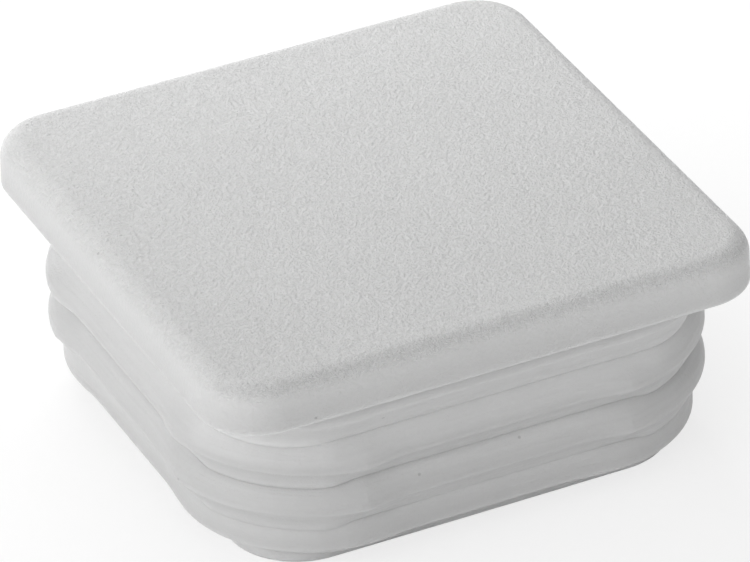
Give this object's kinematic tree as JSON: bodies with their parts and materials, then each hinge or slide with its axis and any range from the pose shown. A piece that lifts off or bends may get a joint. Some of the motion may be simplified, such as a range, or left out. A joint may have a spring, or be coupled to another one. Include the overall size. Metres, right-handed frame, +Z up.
{
  "type": "tube end cap",
  "caption": "Square plastic end cap: a flat head plate with softened edges over a hollow square skirt ringed by four soft rounded fins that grip inside a square tube.",
  "frame": {"origin": "centre of the lower rim of the skirt, on the plane the cap stands on", "axes": "+Z up through the head, X and Y along the sides of the square"},
  "size_m": [0.05, 0.05, 0.0214],
  "materials": {
    "cap_plastic": "light grey moulded polyethylene, fine spark-eroded grain on the head, smooth satin on the skirt and fins"
  },
  "bodies": {
    "root": {"end_cap": "cap_plastic"}
  },
  "joints": []
}
